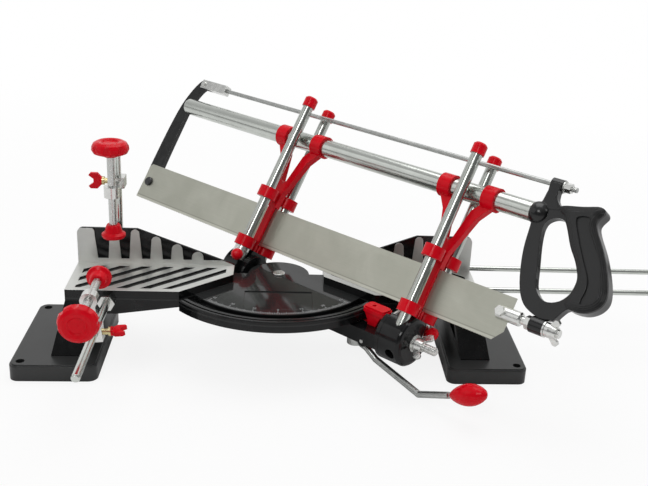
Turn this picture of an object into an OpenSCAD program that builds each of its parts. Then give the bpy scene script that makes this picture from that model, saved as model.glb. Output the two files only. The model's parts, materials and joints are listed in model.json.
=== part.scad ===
// Manual mitre saw: a cast base with a swinging arm, tilting guide pillars and a tensioned frame saw

/* [Setting shown] */
// Mitre setting, to the right of a square cut
mitre_deg = 45; // [-30:1:45]
// Tilt of the blade from upright
tilt_deg = 34; // [0:1:45]

/* [Bench fixing] */
// Distance of the bench bolts beyond the table ends
bolt_out = 38; // [30:1:60]
// Spacing of the bench bolts from front to back
bolt_dy = 122; // [110:1:150]
// Diameter of the bench bolt holes
bolt_hole_d = 8.4; // [5:0.1:11]
// Distance of the pivot behind the middle of the bench bolts
pivot_y = 45; // [35:1:55]

/* [Feet] */
// Width of each foot plate
foot_w = 84; // [70:1:110]
// Height of each foot plate
foot_h = 17; // [10:0.5:22]
// Rim of foot plate outside the bolt holes
foot_rim = 10; // [8:0.5:16]
// Corner radius of the foot plates
foot_r = 9; // [3:0.5:14]

/* [Tables] */
// Height of the tables above the bench
table_z = 79; // [76:0.5:84]
// Distance from the pivot to the outer end of each table
table_reach = 212; // [200:1:230]
// Depth of the tables in front of the fence
table_d = 71; // [65:1:80]
// Half width of the gap between the tables at the fence
throat_half = 48; // [44:1:54]
// Depth of the straight part of the gap between the tables
throat_d = 25; // [15:1:35]
// Half width of the gap at the front edge of the tables
throat_front = 100; // [85:1:105]
// Thickness of the table plates
table_t = 6; // [4:0.5:8]
// Wall of the skirts under the tables
skirt_t = 5; // [3:0.5:8]
// Height of the lower edge of the outer skirts
skirt_z = 53; // [48:0.5:58]
// Width of the grooves in the tables
groove_w = 7.6; // [3:0.1:10]
// Spacing of the grooves along the tables
groove_pitch = 23; // [18:0.5:30]
// Depth of the grooves
groove_deep = 1.5; // [0.5:0.1:2.5]

/* [Fence] */
// Height of the fence above the tables
fence_h = 39; // [28:0.5:50]
// Thickness of the fence
fence_t = 4; // [3:0.1:5]
// Depth of the recesses between the fence fingers
fence_recess = 2; // [0.5:0.1:2.5]
// Width of the fence fingers at the foot
finger_w = 14; // [9:0.1:16]
// Spacing of the fence fingers
finger_pitch = 21.7; // [18:0.1:26]
// Number of fingers inside the end finger of each fence
finger_n = 5; // [3:1:5]

/* [Scale disc and rail] */
// Radius of the disc at its scale edge
scale_r = 103; // [95:1:108]
// Thickness of the disc
disc_t = 8; // [6:0.5:9]
// Step down from the tables to the disc
disc_drop = 9; // [7:0.5:12]
// Outer radius of the rail
rail_r = 127.5; // [122:0.5:132]
// Width of the rail
rail_w = 9; // [6:0.5:12]
// Height of the rail above the disc
rail_up = 3.5; // [1:0.5:5]
// Half angle of the rail
rail_deg = 51; // [50:1:52]
// Width of the catch notches in the rail
notch_w = 5; // [4:0.1:7]

/* [Arm] */
// Width of the arm
arm_w = 40; // [34:1:44]
// Height of the arm
arm_h = 16; // [12:0.5:18]
// Height of the tilt axis above the bench
tilt_z = 57; // [56:0.5:58]
// Radius of the tilt barrel
head_r = 26; // [25:0.5:27]
// Thickness of the flange that carries the front head
hub_l = 4.5; // [3:0.5:8]
// Gap between the rail and the flange
hub_gap = 32.5; // [31:0.5:36]
// Diameter of the tilt studs
stud_d = 8; // [6:0.5:10]

/* [Tilting heads] */
// Length of the front head
head_l = 25.5; // [24:0.5:30]
// Length of the rear head
rear_head_l = 21.7; // [20:0.1:26]
// Distance from the pivot to the rear head
rear_s = 46.3; // [46:0.1:50]
// Diameter of the guide pillars
pillar_d = 12; // [10:0.5:13]
// Half spacing of each pair of pillars
pillar_q = 18.5; // [18:0.1:19.5]
// Height of the pillars above the tilt axis
pillar_top = 207; // [190:1:230]
// Diameter of the caps on the pillars
cap_d = 15; // [14:0.5:16.5]
// Height of the caps on the pillars
cap_h = 12; // [8:0.5:16]

/* [Carriers] */
// Outer diameter of the sliding collars
collar_d = 22; // [19:0.5:24]
// Height of the sliding collars
collar_h = 12.5; // [10:0.5:20]
// Rise from the lower to the upper sliding collars
collar_rise = 60; // [57:1:64]
// Spacing of the two rings of a carrier along the tube
ring_gap = 54; // [46:1:60]
// Length of each ring
ring_l = 15; // [10:0.5:18]
// Wall of each ring
ring_wall = 2.6; // [2:0.1:4]
// Height of a depth stop
stop_h = 15; // [12:0.5:16]
// Clear gap beside the blade in its guides
guide_gap = 0.5; // [0.3:0.05:1]

/* [Saw] */
// Length of the blade
blade_l = 550; // [500:1:600]
// Width of the blade
blade_w = 45; // [38:0.5:46]
// Thickness of the blade
blade_t = 0.8; // [0.6:0.1:1.2]
// Height of the teeth above the tilt axis
blade_up = 32.3; // [32:0.1:33]
// Rise from the teeth to the frame tube
tube_up = 130.5; // [125:0.5:136]
// Diameter of the frame tube
tube_d = 20; // [16:0.5:20.5]
// Wall of the frame tube
tube_wall = 1.5; // [1:0.1:3]
// Rise from the frame tube to the tension rod
rod_up = 33; // [28:0.5:38]
// Diameter of the tension rod
rod_d = 5; // [3:0.5:6]
// Thickness of the strap at the rear end of the saw
strap_t = 5; // [3:0.5:5.5]
// Diameter of the tension screw
tension_d = 8; // [6:0.5:8.5]

/* [Handle] */
// Thickness of the handle web
web_t = 9; // [7:0.5:11]
// Thickness of the grip
grip_t = 26; // [20:1:30]
// Diameter of the handle's lower boss
low_boss_d = 16; // [14:0.5:20]
// Diameter of the handle's upper boss
top_boss_d = 13; // [11:0.5:15]

/* [Clamps] */
// Distance of both clamps from the middle
clamp_x = 171; // [165:1:175]
// Diameter of the clamp rods
clamp_rod_d = 8; // [6:0.5:10]
// Diameter of the clamp screws
clamp_screw_d = 8; // [6:0.5:9]
// Distance from a clamp rod to its screw
clamp_arm = 34.5; // [32:0.5:40]
// Height of the clamp blocks along the rod
clamp_block = 11.5; // [10:0.5:16]
// Diameter of the clamp knobs
clamp_knob_d = 37; // [30:0.5:40]
// Diameter of the clamp pads
clamp_pad_d = 24; // [18:0.5:26]
// Lean of the level clamp from upright
clamp_lean = 5; // [0:1:20]

/* [Length stop] */
// Diameter of the length stop rods
stop_rod_d = 6; // [4:0.5:6.5]
// Spacing of the length stop rods
stop_rod_gap = 60; // [58:0.5:62]
// Reach of the length stop beyond the table end
stop_reach = 262; // [150:1:320]

/* [Hidden] */
$fn = 48;

// clearances
run = 0.06;      // shaft in a bore that turns or slides
seat = 0.02;     // pressed or screwed piece in its own body
air = 0.3;       // faces of two moving bodies
eps = 0.5;       // overrun of cuts

// heights and places that follow from the sizes above
bolt_r = bolt_hole_d / 2;
bolt_dx = 2 * (table_reach + bolt_out);
foot_d = bolt_dy + 2 * foot_rim;
foot_out = bolt_dx / 2 + foot_rim;
disc_z = table_z - disc_drop;
under_z = disc_z - disc_t;
rail_z = disc_z + rail_up;
groove_floor = 3;
arm_gap = 2;
arm_z1 = under_z - arm_gap;
arm_z0 = arm_z1 - arm_h;
skirt_hi = arm_z1 + 1.5;
arm_reach_x = (table_d + arm_w / sqrt(2)) + 1;
rear_hub_r = 33;
hub_s = rail_r + hub_gap;
head_s = hub_s + hub_l + air;
head_end = head_s + head_l;
pillar_s = head_s + head_l - 10.7;
lug_l = 8;
lug_s = rear_s - air - lug_l;
rear_pillar_s = -(rear_s + rear_head_l * 0.4);
rear_end = rear_s + rear_head_l;
stop_z = head_r / 2 - 5;
collar_z = stop_z + stop_h + air;
tube_z = blade_up + tube_up;
rod_z = tube_z + rod_up;
blade_s0 = -blade_l / 2 + 1;
blade_s1 = blade_l / 2 + 1;
screw_z = blade_up + blade_w / 2 + 5;
tube_s = blade_l / 2 - 17;
ring_r = tube_d / 2 + run + ring_wall;
knob_red = [0.85, 0.07, 0.13];
black = [0.12, 0.12, 0.13];
steel = [0.72, 0.73, 0.74];

module at_pivot() { translate([0, pivot_y, 0]) children(); }
module swung() { at_pivot() rotate([0, 0, mitre_deg - 90]) children(); }
module tilted() { swung() translate([0, 0, tilt_z]) rotate([-tilt_deg, 0, 0]) children(); }
module along(s = 0) { translate([s, 0, 0]) rotate([0, 90, 0]) children(); }
module across(s = 0, t = 0) { translate([s, 0, t]) rotate([90, 0, 0]) children(); }
module both_sides() { children(); mirror([1, 0, 0]) children(); }
module cyl(r, h) { cylinder(r = r, h = h); }
// cylinder with a chamfer at its far end
module plug(r, h, c) {
    rotate_extrude() polygon([[0, 0], [r, 0], [r, h - c], [r - c, h], [0, h]]);
}
module ring(ro, ri, h) { difference() { cyl(ro, h); translate([0, 0, -eps]) cyl(ri, h + 2 * eps); } }
module hex(af, h) { cylinder(r = af / sqrt(3), h = h, $fn = 6); }
module rod_between(a, b, r) {
    d = b - a;
    l = norm(d);
    translate(a) rotate([0, acos(d[2] / l), atan2(d[1], d[0])]) cyl(r, l);
}
// closed smooth curve through a list of points
function bend(a, b, c, d, u) = 0.5 * (2 * b + (c - a) * u + (2 * a - 5 * b + 4 * c - d) * u * u
    + (3 * b - a - 3 * c + d) * u * u * u);
function smooth(p, k = 4) = let (n = len(p))
    [for (i = [0 : n - 1], j = [0 : k - 1]) bend(p[(i + n - 1) % n], p[i], p[(i + 1) % n], p[(i + 2) % n], j / k)];

// tables, skirts and legs
leg_in = table_reach - 29;
leg_rear = 8;
leg_foot_in = table_reach - 20;
leg_foot_out = table_reach + 11;
leg_foot_front = table_d + 24;
leg_foot_rear = 12;
leg_wall = 6;
skirt_flat_x = table_reach - 47;
module wing_plan(inset = 0) {
    offset(delta = -inset) polygon([
        [throat_half, fence_t], [throat_half, -throat_d], [throat_front, -table_d],
        [table_reach, -table_d], [table_reach, fence_t]
    ]);
}
module wing() {
    difference() {
        union() {
            translate([0, 0, table_z - table_t]) linear_extrude(table_t) wing_plan();
            translate([0, 0, skirt_z]) linear_extrude(table_z - table_t / 2 - skirt_z)
                difference() { wing_plan(); wing_plan(skirt_t); }
        }
        translate([0, fence_t + eps, 0]) rotate([90, 0, 0]) linear_extrude(table_d + fence_t + 2 * eps)
            polygon([[0, 0], [0, skirt_hi], [arm_reach_x, skirt_hi], [skirt_flat_x, skirt_z - eps],
                [skirt_flat_x, 0]]);
        table_grooves();
    }
}
groove_edge = 9;
groove_back = 8;
groove_front = 6;
groove_in = 8;
groove_turn = atan((throat_front - throat_half) / (table_d - throat_d));
module table_grooves() {
    translate([0, 0, table_z - groove_deep]) linear_extrude(groove_deep + eps) intersection() {
        polygon([
            [throat_half + groove_in, -groove_back], [throat_half + groove_in, -throat_d],
            [throat_front + groove_in, -table_d + groove_front],
            [table_reach - groove_edge, -table_d + groove_front], [table_reach - groove_edge, -groove_back]
        ]);
        for (i = [0 : 10]) translate([throat_front + groove_in + (i + 0.5) * groove_pitch - groove_w, -table_d + groove_front])
            rotate(groove_turn) translate([-groove_w / 2, -2 * table_d]) square([groove_w, 4 * table_d]);
    }
}
leg_top = 66;
module leg() {
    difference() {
        hull() {
            translate([leg_foot_in, -leg_foot_front, foot_h])
                cube([leg_foot_out - leg_foot_in, leg_foot_front + leg_foot_rear, 1]);
            translate([leg_in, -table_d, leg_top])
                cube([table_reach - leg_in, table_d + leg_rear, 1]);
        }
        translate([leg_in - 10, -table_d + leg_wall, foot_h + leg_wall])
            cube([table_reach - leg_in + 10 - leg_wall, table_d - leg_wall - 4, 26]);
    }
}

// fence with its raised fingers
fence_slope_x = table_reach - 62;
fence_corner = 6;
finger_taper = 2.6;
finger_top = 0.6;
end_finger_w = 21;
end_finger_top = 17.5;
finger_first = table_reach - end_finger_w - 17;
gap_foot = 5;
module fence_profile(cut = 0) {
    intersection() {
        polygon([
            [throat_half, table_z - table_t], [throat_half, table_z], [fence_slope_x, table_z + fence_h - cut],
            [table_reach, table_z + fence_h - cut], [table_reach, table_z - table_t]
        ]);
        union() {
            translate([0, 0]) square([table_reach, table_z + fence_h - fence_corner]);
            translate([0, table_z]) square([table_reach - fence_corner, fence_h]);
            translate([table_reach - fence_corner, table_z + fence_h - fence_corner]) circle(fence_corner);
        }
    }
}
module finger(x) {
    room = min(fence_h, (x - throat_half) * fence_h / (fence_slope_x - throat_half)) - finger_top;
    top_w = finger_w - 2 * finger_taper * room / fence_h;
    polygon([
        [x - finger_w / 2, table_z], [x - top_w / 2, table_z + room - top_w / 2],
        [x + top_w / 2, table_z + room - top_w / 2], [x + finger_w / 2, table_z]
    ]);
    translate([x, table_z + room - top_w / 2]) circle(top_w / 2);
}
module upright(y0, t) { translate([0, y0 + t, 0]) rotate([90, 0, 0]) linear_extrude(t) children(); }
module fence() {
    upright(fence_recess, fence_t - fence_recess) fence_profile();
    upright(0, fence_recess + 0.01) intersection() {
        fence_profile(finger_top / 2);
        union() {
            square([table_reach, table_z + gap_foot]);
            polygon([
                [table_reach - end_finger_w, table_z], [table_reach - end_finger_top, table_z + fence_h - 2],
                [table_reach - end_finger_top + 2, table_z + fence_h], [table_reach, table_z + fence_h],
                [table_reach, table_z]
            ]);
            for (i = [0 : finger_n - 1]) finger(finger_first - i * finger_pitch);
        }
    }
    for (x = rib_x) translate([x - rib_t / 2, fence_t - 0.01, 0]) rotate([90, 0, 90]) linear_extrude(rib_t)
        polygon([[0, table_z - 16], [rib_d, table_z - 16], [rib_d, table_z - 4], [0, table_z + fence_h * 0.7]]);
}
rib_x = [table_reach - 70, table_reach - 14];
rib_t = 5;
rib_d = 9;

// disc with its recessed panel, and the rail outside it
panel_w = 70;
panel_d = 44;
panel_front = 90;
panel_deep = 1;
disc_back = 20;
module disc() {
    difference() {
        translate([0, 0, under_z]) linear_extrude(disc_t) {
            circle(rear_hub_r, $fn = 96);
            translate([-throat_half - skirt_t / 2, -disc_back - 10])
                square([2 * throat_half + skirt_t, disc_back + 10]);
            intersection() {
                circle(scale_r, $fn = 96);
                translate([-scale_r, -scale_r]) square([2 * scale_r, scale_r - disc_back]);
            }
        }
        translate([-panel_w / 2, -panel_front, disc_z - panel_deep]) cube([panel_w, panel_d, panel_deep + eps]);
    }
}
detents = [-45, -30, -22.5, -15, 0, 15, 22.5, 30, 45];
notch_deep = 2.2;
notch_in = rail_r - 8.4;
notch_l = 5.2;
bead_deep = 1.8;
rim_r = scale_r + 7.5;
rim_w = 3;
module rail() {
    difference() {
        rotate_extrude(angle = 2 * rail_deg, start = 270 - rail_deg, $fn = 96) polygon([
            [scale_r - 2, under_z], [rail_r, under_z], [rail_r, rail_z - 1], [rail_r - 1, rail_z],
            [rail_r - 3.4, rail_z], [rail_r - 3.4, rail_z - bead_deep], [rail_r - 5.6, rail_z - bead_deep],
            [rail_r - 5.6, rail_z], [rail_r - rail_w, rail_z], [rail_r - rail_w, under_z + groove_floor], [rim_r + rim_w, under_z + groove_floor],
            [rim_r + rim_w, disc_z - 1.5], [rim_r, disc_z - 1.5], [rim_r, under_z + groove_floor],
            [scale_r - 2, under_z + groove_floor]
        ]);
        for (a = detents) rotate([0, 0, a - 90]) translate([notch_in, -notch_w / 2, under_z - eps])
            cube([notch_l, notch_w, notch_deep + eps]);
    }
}

// sockets in the casting for the clamp rods and the length stop
clamp_back = 16;
socket_wall = 4;
socket_z = 60;
socket_h = 28;
level_z = 67;
stop_rod_z = table_z - table_t - stop_rod_d / 2 - 0.5;
stop_front_y = -31;
stop_back_y = stop_front_y + stop_rod_gap;
stop_in = 60;
lug_w = 14;
module sockets() {
    translate([-clamp_x, clamp_back, socket_z]) cyl(clamp_rod_d / 2 + socket_wall, socket_h);
    translate([-clamp_x - clamp_rod_d / 2 - socket_wall + 1, fence_t - 0.01, socket_z])
        cube([clamp_rod_d + 2 * socket_wall - 2, clamp_back - fence_t, socket_h]);
    translate([-clamp_x - clamp_rod_d, -table_d + skirt_t - 0.01, skirt_z])
        cube([2 * clamp_rod_d, 10, table_z - table_t / 2 - skirt_z]);
    translate([table_reach - 2 * lug_w, fence_t - 0.01, stop_rod_z - lug_w / 2 + 1])
        cube([2 * lug_w, stop_back_y - fence_t, lug_w - 2]);
    translate([table_reach - 2 * lug_w, stop_back_y, stop_rod_z]) along() cyl(lug_w / 2, 2 * lug_w);
}
module socket_bores() {
    translate([-clamp_x, clamp_back, socket_z + 4]) cyl(clamp_rod_d / 2 + seat, socket_h);
    translate([-clamp_x, -table_d + level_seat, level_z]) rotate([90, 0, 0]) cyl(clamp_rod_d / 2 + seat, level_seat + eps);
    for (y = [stop_front_y, stop_back_y]) translate([table_reach - stop_in, y, stop_rod_z])
        along() cyl(stop_rod_d / 2 + run, stop_in + eps);
}
level_seat = 12;
pivot_d = 8;
foot_screw_d = 6;
foot_screw_y = [-table_d - 2, -2];
foot_screw_x = table_reach - 5;
module foot_screw_places() {
    for (x = [-foot_screw_x, foot_screw_x], y = foot_screw_y) translate([x, y, 0]) children();
}

module base_casting() {
    color(black) at_pivot() difference() {
        union() {
            both_sides() { wing(); fence(); leg(); }
            disc();
            rail();
            sockets();
        }
        socket_bores();
        translate([0, 0, under_z - eps]) cyl(pivot_d / 2 + seat, disc_t + 2 * eps);
        foot_screw_places() translate([0, 0, foot_h - eps]) cyl(foot_screw_d / 2 + seat, 6 + eps);
    }
}
foot_chamfer = 2;
module foot(sgn) {
    x0 = sgn * (foot_out - foot_w / 2);
    color([0.16, 0.16, 0.17]) difference() {
        translate([x0, 0, 0]) {
            linear_extrude(foot_h - foot_chamfer) foot_plan(0);
            translate([0, 0, foot_h - foot_chamfer - 0.01]) linear_extrude(foot_chamfer / 2 + 0.01)
                foot_plan(foot_chamfer / 4);
            translate([0, 0, foot_h - foot_chamfer / 2 - 0.01]) linear_extrude(foot_chamfer / 2 + 0.01)
                foot_plan(foot_chamfer);
        }
        for (y = [-bolt_dy / 2, bolt_dy / 2]) translate([sgn * bolt_dx / 2, y, -eps]) cyl(bolt_r, foot_h + 2 * eps);
        at_pivot() foot_screw_places() {
            translate([0, 0, -eps]) cyl(foot_screw_d / 2 + seat, foot_h + 2 * eps);
            translate([0, 0, -eps]) cyl(foot_screw_d + seat, foot_screw_head + eps);
        }
    }
}
foot_screw_head = 6;
module foot_plan(inset) {
    r = foot_r - inset;
    w = foot_w / 2 - foot_r;
    d = foot_d / 2 - foot_r;
    square([2 * w, 2 * (d + r)], center = true);
    square([2 * (w + r), 2 * d], center = true);
    for (x = [-w, w], y = [-d, d]) translate([x, y]) circle(r);
}
module left_foot() { foot(-1); }
module right_foot() { foot(1); }
module foot_screws() {
    color(steel) at_pivot() foot_screw_places() {
        translate([0, 0, 1]) cyl(foot_screw_d, foot_screw_head - 1);
        translate([0, 0, 1]) cyl(foot_screw_d / 2, foot_h + 4);
    }
}
pivot_head_r = 6.5;
pivot_nut_h = 7;
module pivot_bolt() {
    color(steel) at_pivot() difference() {
        union() {
            translate([0, 0, disc_z]) plug(pivot_head_r, 1.8, 0.6);
            translate([0, 0, arm_z0 - pivot_nut_h - air - 2]) cyl(pivot_d / 2, disc_z - arm_z0 + pivot_nut_h + air + 2);
        }
        translate([0, 0, disc_z + 1]) cyl(2, 3);
    }
}
module pivot_nut() {
    color(steel) at_pivot() translate([0, 0, arm_z0 - air - pivot_nut_h]) difference() {
        hex(14, pivot_nut_h);
        translate([0, 0, -eps]) cyl(pivot_d / 2 + seat, pivot_nut_h + 2 * eps);
    }
}

// swinging arm
catch_s = rail_r + 12;
catch_z = arm_z0 + 3;
catch_w = 12;
paddle_w = 16;
slot_gap = air + 0.2;
arm_boss_r = 18;
catch_pin_d = 4;
lever_s = rail_r - rail_w + 2.5;
lever_q = -8;
lever_pin_d = 8;
paddle_z = rail_z;
module arm() {
    color(black) swung() difference() {
        union() {
            translate([-lug_s - lug_l, -arm_w / 2, arm_z0]) cube([lug_s + lug_l + hub_s + 4, arm_w, arm_h]);
            translate([0, 0, arm_z0]) cyl(arm_boss_r, under_z - air - arm_z0);
            translate([0, 0, tilt_z]) along(hub_s) cyl(head_r, hub_l);
            translate([0, 0, tilt_z]) along(-lug_s - lug_l) cyl(arm_w / 2, lug_l);
            translate([-lug_s - lug_l, -arm_w / 2, arm_z0]) cube([lug_l, arm_w, tilt_z - arm_z0]);
            across(catch_s, catch_z) translate([0, 0, -arm_w / 2]) cyl(6, arm_w);
        }
        translate([0, 0, arm_z0 - eps]) cyl(pivot_d / 2 + run, arm_h + arm_gap + 2 * eps);
        // hollow under the beam
        translate([arm_boss_r + 8, -arm_w / 2 + 6, arm_z0 - eps])
            cube([lever_s - 12 - arm_boss_r - 8, arm_w - 12, arm_h - 6 + eps]);
        // slot for the catch, and the flat on the hub that lets its paddle move
        translate([catch_s - 7.5, -catch_w / 2 - slot_gap, arm_z0 - 8])
            cube([15.5, catch_w + 2 * slot_gap, arm_h + 10]);
        translate([hub_s - eps, -paddle_w / 2 - slot_gap, paddle_z - 4.5]) cube([hub_l + 2 * eps, paddle_w + 2 * slot_gap, head_r]);
        translate([notch_in - 1.8, -tooth_w / 2 - slot_gap, finger_z - 1.2])
            cube([catch_s - notch_in, tooth_w + 2 * slot_gap, arm_z1 - finger_z + 2]);
        across(catch_s, catch_z) translate([0, 0, -arm_w / 2 - eps]) cyl(catch_pin_d / 2 + seat, arm_w + 2 * eps);
        translate([lever_s, lever_q, arm_z0 - eps]) cyl(lever_pin_d / 2 + run, arm_h + 2 * eps);
        translate([0, 0, tilt_z]) along(hub_s - eps) cyl(stud_d / 2 + seat, hub_l + 2 * eps);
        translate([0, 0, tilt_z]) along(-lug_s - lug_l - eps) cyl(stud_d / 2 + seat, lug_l + 2 * eps);
    }
}
module catch_pin() {
    color(steel) swung() across(catch_s, catch_z) translate([0, 0, -arm_w / 2 - 1]) cyl(catch_pin_d / 2, arm_w + 2);
}
stud_tail = 28;
wing_h = 10;
washer_t = 1.6;
module front_stud() {
    color(steel) swung() translate([0, 0, tilt_z]) difference() {
        union() {
            along(hub_s) plug(stud_d / 2, head_end + stud_tail - hub_s, 1);
            along(hub_s - 0.01) cyl(stud_d / 2, 1);
        }
        along(hub_s - 1) cyl(1, 1.5);
    }
}
rear_nut_h = 6.5;
module rear_stud() {
    color(steel) swung() translate([-lug_s, 0, tilt_z]) rotate([0, -90, 0])
        plug(stud_d / 2, rear_end - lug_s + washer_t + rear_nut_h + air + 5, 1);
}
module rear_nut() {
    color(steel) swung() translate([-rear_end - air, 0, tilt_z]) rotate([0, -90, 0]) {
        ring(8, stud_d / 2 + seat, washer_t);
        translate([0, 0, washer_t]) difference() {
            hex(13, rear_nut_h);
            translate([0, 0, -eps]) cyl(stud_d / 2 + seat, rear_nut_h + 2 * eps);
        }
    }
}

// catch: a paddle on a stem that rocks about its pin, with a finger whose tooth enters the rail from below
stem_in = 5.2;
paddle_l = 12.5;
paddle_r = 17;
paddle_h = 6;
paddle_corner = 5;
tooth_w = 4.4;
tooth_l = 2.8;
finger_z = under_z - 7;
finger_t = 4.5;
module catch() {
    pz = paddle_z - catch_z;
    outline = [
        [-stem_in, 0], [-stem_in, pz - 14], [-stem_in - 1, pz - 8], [-paddle_l + 3, pz - 1.5], [-paddle_l + 3, pz],
        [paddle_r - 4, pz], [paddle_r - 6, pz - 2], [stem_in + 3, pz - 7], [stem_in, pz - 14], [stem_in, 0]
    ];
    color(knob_red) swung() difference() {
        union() {
            across(catch_s, catch_z) translate([0, 0, -catch_w / 2]) linear_extrude(catch_w) polygon(outline);
            across(catch_s, catch_z) translate([0, 0, -catch_w / 2]) cyl(stem_in, catch_w);
            translate([catch_s, 0, paddle_z - 2]) linear_extrude(2.01) paddle_plan(1.6);
            translate([catch_s, 0, paddle_z]) linear_extrude(paddle_h - 1.99) paddle_plan(0);
            translate([catch_s, 0, paddle_z + paddle_h - 2]) linear_extrude(2) paddle_plan(1.4);
            translate([notch_in + 0.4, -tooth_w / 2, finger_z]) cube([catch_s - notch_in - 1, tooth_w, finger_t]);
            translate([notch_in + 0.4, -tooth_w / 2, finger_z]) cube([tooth_l, tooth_w, under_z - air - finger_z]);
        }
        across(catch_s, catch_z) translate([0, 0, -catch_w / 2 - eps]) cyl(catch_pin_d / 2 + run, catch_w + 2 * eps);
        translate([catch_s - 2, 0, paddle_z + 3]) cyl(2, 9);
    }
}
module paddle_plan(inset) {
    translate([-paddle_l + paddle_corner, -paddle_w / 2 + paddle_corner]) offset(r = paddle_corner - inset)
        square([paddle_l + paddle_r - 2 * paddle_corner, paddle_w - 2 * paddle_corner]);
}

// clamping lever under the arm
lever_d = 7;
lever_hub_r = 8.5;
lever_hub_h = 9;
lever_path = [[16, -3.2], [29, -11.6], [86, -28.5], [122, -14.5]];
lever_end = [165, 4.5];
lever_knob_d = 22;
lever_drop = 6.5;
function lever_pt(p) = [lever_s + p[0], lever_q, arm_z0 - lever_drop + p[1]];
module lever_rod() {
    start = [lever_s, lever_q, arm_z0 - lever_drop + 1];
    pts = concat([start], [for (p = lever_path) lever_pt(p)]);
    color(steel) swung() {
        translate([lever_s, lever_q, arm_z0 - air - lever_hub_h]) cyl(lever_hub_r, lever_hub_h);
        translate([lever_s, lever_q, arm_z0 - air - 1]) plug(lever_pin_d / 2, under_z - arm_z0 + 1, 1);
        for (i = [0 : len(pts) - 2]) rod_between(pts[i], pts[i + 1], lever_d / 2);
        for (i = [1 : len(pts) - 2]) translate(pts[i]) sphere(lever_d / 2 + 0.05);
    }
}
module lever_knob() {
    a = lever_pt(lever_path[3]);
    b = lever_pt(lever_end);
    l = norm(b - a);
    d = b - a;
    color(knob_red) swung() translate(a) rotate([0, acos(d[2] / l), atan2(d[1], d[0])])
        rotate_extrude() polygon(concat([[0, 0]], [for (i = [1 : 11]) let (u = i / 12)
            [lever_knob_d / 2 * pow(sin(180 * pow(u, 1.12)), 0.62), l * u]], [[0, l]]));
}

// tilting heads on their studs
bore_z = -5;
side_hole_d = 11;
side_hole_turn = 141;
module head(s0, l, s_p, flip, side) {
    difference() {
        if (flip) translate([s0 + l, 0, 0]) rotate([0, -90, 0]) plug(head_r, l, 2);
        else along(s0) rotate_extrude() polygon([
            [0, 0], [head_r, 0], [head_r, l - 4], [head_r - 0.5, l - 3.6], [head_r - 1.2, l - 2.2], [head_r - 2.6, l - 0.9],
            [head_r - 5.5, l], [0, l]
        ]);
        along(s0 - eps) cyl(stud_d / 2 + run, l + 2 * eps);
        for (q = [-pillar_q, pillar_q]) translate([s_p, q, bore_z]) cyl(pillar_d / 2 + seat, 1.5 * head_r);
        mirror([0, side, 0]) translate([s_p - stop_r - 1.5, pillar_q - stop_r - 0.4, stop_z])
            cube([2 * stop_r + 9, head_r, head_r]);
        translate([s0 - eps, -head_r, collar_z - air]) cube([l + 2 * eps, 2 * head_r, head_r]);
        translate([s_p, 0, 0]) rotate([side_hole_turn, 0, 0]) translate([0, 0, head_r - 8]) cyl(side_hole_d / 2, 8 + eps);
    }
}
stop_r = 8.6;
module front_head() { color(black) tilted() head(head_s, head_l, pillar_s, false, 0); }
module rear_head() { color(black) tilted() head(-rear_end, rear_head_l, rear_pillar_s, true, 1); }
module pillar(s, q) { color(steel) tilted() translate([s, q, bore_z]) plug(pillar_d / 2, pillar_top - bore_z, 0.8); }
module pillar_fl() { pillar(pillar_s, -pillar_q); }
module pillar_fr() { pillar(pillar_s, pillar_q); }
module pillar_rl() { pillar(rear_pillar_s, -pillar_q); }
module pillar_rr() { pillar(rear_pillar_s, pillar_q); }
module caps(s) {
    for (q = [-pillar_q, pillar_q]) translate([s, q, pillar_top - cap_h + 3]) difference() {
        plug(cap_d / 2, cap_h, 2);
        translate([0, 0, -eps]) cyl(pillar_d / 2 + seat, cap_h - 3 + eps);
    }
}
module front_caps() { color(knob_red) tilted() caps(pillar_s); }
module rear_caps() { color(knob_red) tilted() caps(rear_pillar_s); }

// a depth stop on one pillar of each pair, with a knobbed screw that points away from the pillar
stop_screw_d = 5;
front_screw_z = stop_z + 8;
rear_screw_z = stop_z + 4;
rear_screw_turn = -56;
module stop_frame(s, q, turn, z) { translate([s, q, z]) rotate([0, 0, turn]) rotate([0, 90, 0]) children(); }
module stop_ring(s, q, turn, z) {
    difference() {
        translate([s, q, stop_z]) ring(stop_r, pillar_d / 2 + seat, stop_h);
        stop_frame(s, q, turn, z) cyl(stop_screw_d / 2 + run, 2 * stop_r);
    }
}
module stop_screw() {
    translate([0, 0, pillar_d / 2 + air]) cyl(stop_screw_d / 2, 7);
    translate([0, 0, stop_r + 1]) rotate_extrude() polygon([
        [0, 0], [3.2, 0], [5.2, 1.6], [6.3, 4], [6.5, 6], [6, 8.2], [4.6, 10], [2.6, 11], [0, 11.2]
    ]);
}
module front_stops() { color(steel) tilted() stop_ring(pillar_s, pillar_q, 0, front_screw_z); }
module rear_stops() { color(steel) tilted() stop_ring(rear_pillar_s, -pillar_q, rear_screw_turn, rear_screw_z); }
module front_stop_screw() { color(knob_red) tilted() stop_frame(pillar_s, pillar_q, 0, front_screw_z) stop_screw(); }
module rear_stop_screw() {
    color(knob_red) tilted() stop_frame(rear_pillar_s, -pillar_q, rear_screw_turn, rear_screw_z) stop_screw();
}

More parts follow.
